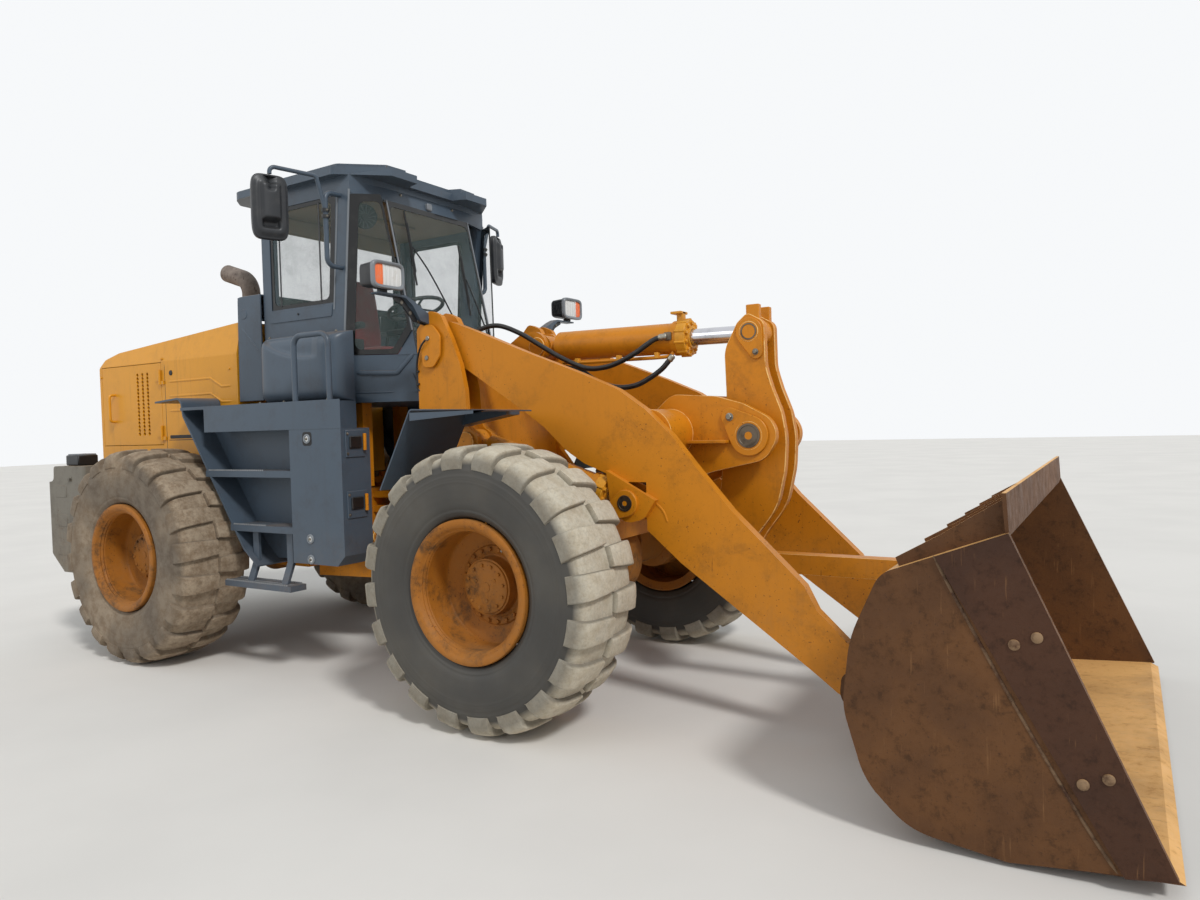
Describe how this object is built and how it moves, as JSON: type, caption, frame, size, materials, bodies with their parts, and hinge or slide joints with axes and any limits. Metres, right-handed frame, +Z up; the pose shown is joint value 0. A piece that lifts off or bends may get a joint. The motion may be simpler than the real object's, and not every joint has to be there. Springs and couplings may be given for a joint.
{
  "type": "wheel loader",
  "caption": "Articulated wheel loader with a Z-bar boom and wide digging bucket, glazed cab, side decks and lugged tyres; it steers at its centre pivot.",
  "frame": {"origin": "middle of the whole length and width, on the ground under the machine", "axes": "+X forwards to the bucket, +Y to the machine's left, +Z up"},
  "size_m": [8.009, 3.008, 3.5591],
  "materials": {
    "yellow_paint": "chalky gloss, dusty",
    "boom_paint": "faded, dusty",
    "slate_paint": "satin, dusty",
    "grey_paint": "satin",
    "rim_paint": "rust-stained",
    "tyre_rubber": "dusty",
    "bucket_steel": "worn paint over rust",
    "chrome_rod": "polished",
    "pin_steel": "greasy",
    "axle_iron": "oily",
    "black_plastic": "moulded",
    "seat_fabric": "worn",
    "cab_pane": "clear, dusty",
    "rust_pipe": "rusty",
    "engine_paint": "oily"
  },
  "bodies": {
    "root": {"rear_frame": "yellow_paint", "hinge_pins": "pin_steel", "rear_axle": "axle_iron", "counterweight": "grey_paint", "hood": "yellow_paint", "rear_grille": "black_plastic", "engine_block": "engine_paint", "exhaust": "rust_pipe", "transmission": "axle_iron", "side_unit_right": "slate_paint", "side_unit_left": "slate_paint", "cab_shell": "slate_paint", "cab_roof": "slate_paint", "cab_glass": "cab_pane", "side_box": "slate_paint", "driver_seat": "seat_fabric", "cab_controls": "black_plastic", "handrails": "slate_paint", "mirrors": "black_plastic", "rear_lamps": "black_plastic"},
    "front_frame": {"front_frame": "yellow_paint", "frame_pins": "pin_steel", "front_axle": "axle_iron", "front_fenders": "slate_paint", "front_lamps": "black_plastic", "front_shaft": "pin_steel"},
    "boom": {"boom_arm_right": "boom_paint", "boom_arm_left": "boom_paint", "boom_cross_tube": "boom_paint"},
    "rocker_pin": {"rocker_pin": "pin_steel"},
    "rocker": {"rocker": "boom_paint"},
    "link_pin": {"link_pin": "pin_steel"},
    "link": {"tilt_link": "yellow_paint"},
    "bucket_pins": {"bucket_pins": "pin_steel"},
    "bucket": {"bucket": "bucket_steel"},
    "tilt_barrel": {"tilt_barrel": "yellow_paint"},
    "tilt_rod": {"tilt_rod": "chrome_rod"},
    "cab_door": {"cab_door": "slate_paint", "cab_door_glass": "cab_pane"},
    "hood_door_right": {"hood_door_right": "yellow_paint"},
    "hood_door_left": {"hood_door_left": "yellow_paint"},
    "lift_barrel_right": {"lift_barrel_right": "yellow_paint"},
    "lift_rod_right": {"lift_rod_right": "chrome_rod"},
    "steer_barrel_right": {"steer_barrel_right": "yellow_paint"},
    "steer_rod_right": {"steer_rod_right": "chrome_rod"},
    "wheel_front_right": {"tyre_front_right": "tyre_rubber", "rim_front_right": "rim_paint"},
    "wheel_rear_right": {"tyre_rear_right": "tyre_rubber", "rim_rear_right": "rim_paint"},
    "lift_barrel_left": {"lift_barrel_left": "yellow_paint"},
    "lift_rod_left": {"lift_rod_left": "chrome_rod"},
    "steer_barrel_left": {"steer_barrel_left": "yellow_paint"},
    "steer_rod_left": {"steer_rod_left": "chrome_rod"},
    "wheel_front_left": {"tyre_front_left": "tyre_rubber", "rim_front_left": "rim_paint"},
    "wheel_rear_left": {"tyre_rear_left": "tyre_rubber", "rim_rear_left": "rim_paint"}
  },
  "joints": [
    {"name": "steer", "type": "hinge", "parent": "root", "child": "front_frame", "pos_m": [-0.8575, 0, 0.9], "axis": [0, 0, 1], "range_deg": [-35, 35]},
    {"name": "boom_lift", "type": "hinge", "parent": "front_frame", "child": "boom", "pos_m": [-0.0625, 0, 2.288], "axis": [0, -1, 0], "range_deg": [0, 68]},
    {"name": "rocker_level", "type": "hinge", "parent": "boom", "child": "rocker_pin", "pos_m": [1.9815, 0, 1.601], "axis": [0, -1, 0], "range_deg": [0, 31.21]},
    {"name": "bucket_tilt", "type": "hinge", "parent": "rocker_pin", "child": "rocker", "pos_m": [1.9815, 0, 1.601], "axis": [0, -1, 0], "range_deg": [-13, 14]},
    {"name": "link_level", "type": "hinge", "parent": "bucket", "child": "link_pin", "pos_m": [2.8275, 0, 0.833], "axis": [0, -1, 0], "range_deg": [0, 45.5]},
    {"name": "link_swing", "type": "hinge", "parent": "link_pin", "child": "link", "pos_m": [2.8275, 0, 0.833], "axis": [0, -1, 0], "range_deg": [-33.75, 36.34]},
    {"name": "bucket_level", "type": "hinge", "parent": "boom", "child": "bucket_pins", "pos_m": [2.7125, 0, 0.32], "axis": [0, -1, 0], "range_deg": [-71.44, 0]},
    {"name": "bucket_dump", "type": "hinge", "parent": "bucket_pins", "child": "bucket", "pos_m": [2.7125, 0, 0.32], "axis": [0, -1, 0], "range_deg": [-47.12, 43.76]},
    {"name": "tilt_cylinder", "type": "hinge", "parent": "front_frame", "child": "tilt_barrel", "pos_m": [0.4005, 0, 2.235], "axis": [0, -1, 0], "range_deg": [0, 81.84]},
    {"name": "tilt_piston", "type": "slide", "parent": "tilt_barrel", "child": "tilt_rod", "axis": [0.9999, 0, -0.013], "range_m": [-0.1473, 0.13678]},
    {"name": "lift_cylinder_right", "type": "hinge", "parent": "front_frame", "child": "lift_barrel_right", "pos_m": [0.2125, -0.56, 1.6], "axis": [0, -1, 0], "range_deg": [0, 71.62]},
    {"name": "lift_piston_right", "type": "slide", "parent": "lift_barrel_right", "child": "lift_rod_right", "axis": [0.9527, 0, -0.3039], "range_m": [0, 0.84291]},
    {"name": "lift_cylinder_left", "type": "hinge", "parent": "front_frame", "child": "lift_barrel_left", "pos_m": [0.2125, 0.56, 1.6], "axis": [0, -1, 0], "range_deg": [0, 71.62]},
    {"name": "lift_piston_left", "type": "slide", "parent": "lift_barrel_left", "child": "lift_rod_left", "axis": [0.9527, 0, -0.3039], "range_m": [0, 0.84291]},
    {"name": "steer_cylinder_right", "type": "hinge", "parent": "root", "child": "steer_barrel_right", "pos_m": [-1.5075, -0.36, 0.9], "axis": [0, 0, 1], "range_deg": [-7.89, 7.89]},
    {"name": "steer_piston_right", "type": "slide", "parent": "steer_barrel_right", "child": "steer_rod_right", "axis": [0.9997, 0.023, 0], "range_m": [-0.20873, 0.20873]},
    {"name": "steer_cylinder_left", "type": "hinge", "parent": "root", "child": "steer_barrel_left", "pos_m": [-1.5075, 0.36, 0.9], "axis": [0, 0, 1], "range_deg": [-7.89, 7.89]},
    {"name": "steer_piston_left", "type": "slide", "parent": "steer_barrel_left", "child": "steer_rod_left", "axis": [0.9997, -0.023, 0], "range_m": [-0.20873, 0.20873]},
    {"name": "wheel_front_right", "type": "hinge", "parent": "front_frame", "child": "wheel_front_right", "pos_m": [0.7925, -1.13, 0.8], "axis": [0, 1, 0], "continuous": true},
    {"name": "wheel_front_left", "type": "hinge", "parent": "front_frame", "child": "wheel_front_left", "pos_m": [0.7925, 1.13, 0.8], "axis": [0, 1, 0], "continuous": true},
    {"name": "wheel_rear_right", "type": "hinge", "parent": "root", "child": "wheel_rear_right", "pos_m": [-2.5075, -1.13, 0.8], "axis": [0, 1, 0], "continuous": true},
    {"name": "wheel_rear_left", "type": "hinge", "parent": "root", "child": "wheel_rear_left", "pos_m": [-2.5075, 1.13, 0.8], "axis": [0, 1, 0], "continuous": true},
    {"name": "cab_door_hinge", "type": "hinge", "parent": "root", "child": "cab_door", "pos_m": [-1.5555, 0.734, 2.5], "axis": [0, 0, 1], "range_deg": [0, 80]},
    {"name": "hood_door_right_hinge", "type": "hinge", "parent": "root", "child": "hood_door_right", "pos_m": [-2.9595, -0.762, 2], "axis": [0, 0, 1], "range_deg": [0, 80]},
    {"name": "hood_door_left_hinge", "type": "hinge", "parent": "root", "child": "hood_door_left", "pos_m": [-2.9595, 0.762, 2], "axis": [0, 0, -1], "range_deg": [0, 80]}
  ],
  "couplings": [
    {"joint": "rocker_level", "follows": "boom_lift", "ratio": 0.45},
    {"joint": "link_level", "follows": "boom_lift", "ratio": 0.656},
    {"joint": "link_swing", "follows": "bucket_tilt", "ratio": 2.545},
    {"joint": "bucket_level", "follows": "boom_lift", "ratio": -1.03},
    {"joint": "bucket_dump", "follows": "bucket_tilt", "ratio": -3.3},
    {"joint": "tilt_cylinder", "follows": "boom_lift", "ratio": 1.18},
    {"joint": "tilt_piston", "follows": "bucket_tilt", "m_per_rad": -0.591},
    {"joint": "lift_cylinder_right", "follows": "boom_lift", "ratio": 1.0326},
    {"joint": "lift_piston_right", "follows": "boom_lift", "m_per_rad": 0.6963},
    {"joint": "lift_cylinder_left", "follows": "boom_lift", "ratio": 1.0326},
    {"joint": "lift_piston_left", "follows": "boom_lift", "m_per_rad": 0.6963},
    {"joint": "steer_cylinder_right", "follows": "steer", "ratio": 0.22109},
    {"joint": "steer_piston_right", "follows": "steer", "m_per_rad": 0.335},
    {"joint": "steer_cylinder_left", "follows": "steer", "ratio": 0.22109},
    {"joint": "steer_piston_left", "follows": "steer", "m_per_rad": -0.335}
  ]
}
